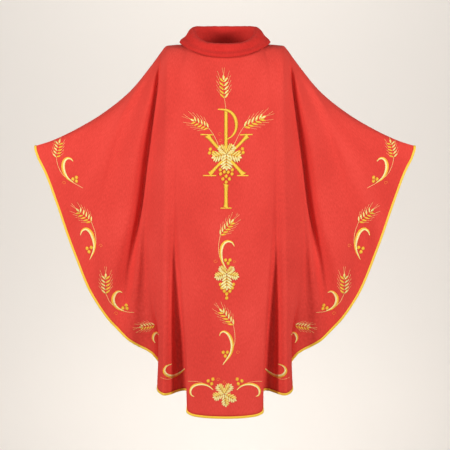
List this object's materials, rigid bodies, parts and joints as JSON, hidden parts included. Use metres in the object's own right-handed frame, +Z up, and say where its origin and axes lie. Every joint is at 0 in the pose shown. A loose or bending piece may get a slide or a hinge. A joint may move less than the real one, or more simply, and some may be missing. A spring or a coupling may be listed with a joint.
{
  "type": "chasuble",
  "caption": "Full Gothic chasuble in red woven cloth with a rolled cowl collar, gold bound hem and raised gold wheat, vine and monogram embroidery.",
  "frame": {"origin": "centre of the neck opening, level with the shoulder line, where the wearer's shoulders carry the garment", "axes": "+Z up, the front faces -Y, +X towards the wearer's left wing tip"},
  "size_m": [1.3274, 0.2762, 1.3544],
  "materials": {
    "vestment_cloth": "fine matte woven wool blend, scarlet red",
    "collar_cloth": "the same scarlet cloth, doubled and softly rolled",
    "lining_tape": "plain red cotton tape and facing",
    "canvas": "undyed woven interfacing",
    "gold_braid": "golden yellow satin bias binding",
    "gold_thread": "deep gold rayon embroidery thread, satin stitch",
    "pale_gold_thread": "pale cream gold rayon embroidery thread, satin stitch"
  },
  "bodies": {
    "root": {"back_panel": "vestment_cloth", "collar_fall": "collar_cloth", "collar_interfacing": "canvas", "collar_stand": "collar_cloth", "column_grapes_back": "gold_thread", "column_grapes_front": "gold_thread", "column_leaf_back": "pale_gold_thread", "column_leaf_front": "pale_gold_thread", "column_spray_lower_back": "pale_gold_thread", "column_spray_lower_front": "pale_gold_thread", "column_spray_upper_back": "pale_gold_thread", "column_spray_upper_front": "pale_gold_thread", "front_panel": "vestment_cloth", "hem_binding_back": "gold_braid", "hem_binding_front": "gold_braid", "hem_leaf_back": "pale_gold_thread", "hem_leaf_front": "pale_gold_thread", "hem_scroll_left_back": "gold_thread", "hem_scroll_left_front": "gold_thread", "hem_scroll_right_back": "gold_thread", "hem_scroll_right_front": "gold_thread", "monogram_back": "gold_thread", "monogram_front": "gold_thread", "monogram_grapes_left_back": "gold_thread", "monogram_grapes_left_front": "gold_thread", "monogram_grapes_low_back": "gold_thread", "monogram_grapes_low_front": "gold_thread", "monogram_grapes_right_back": "gold_thread", "monogram_grapes_right_front": "gold_thread", "monogram_leaf_back": "pale_gold_thread", "monogram_leaf_front": "pale_gold_thread", "neck_facing_back": "lining_tape", "neck_facing_front": "lining_tape", "shoulder_seam_tape_left": "lining_tape", "shoulder_seam_tape_right": "lining_tape", "wheat_ear_left_back": "pale_gold_thread", "wheat_ear_left_front": "pale_gold_thread", "wheat_ear_right_back": "pale_gold_thread", "wheat_ear_right_front": "pale_gold_thread", "wheat_ear_top_back": "pale_gold_thread", "wheat_ear_top_front": "pale_gold_thread", "wing_spray_1_left": "pale_gold_thread", "wing_spray_1_right": "pale_gold_thread", "wing_spray_2_left": "pale_gold_thread", "wing_spray_2_right": "pale_gold_thread", "wing_spray_3_left": "pale_gold_thread", "wing_spray_3_right": "pale_gold_thread", "wing_spray_4_left": "pale_gold_thread", "wing_spray_4_right": "pale_gold_thread", "wing_spray_5_left": "pale_gold_thread", "wing_spray_5_right": "pale_gold_thread"}
  },
  "joints": []
}
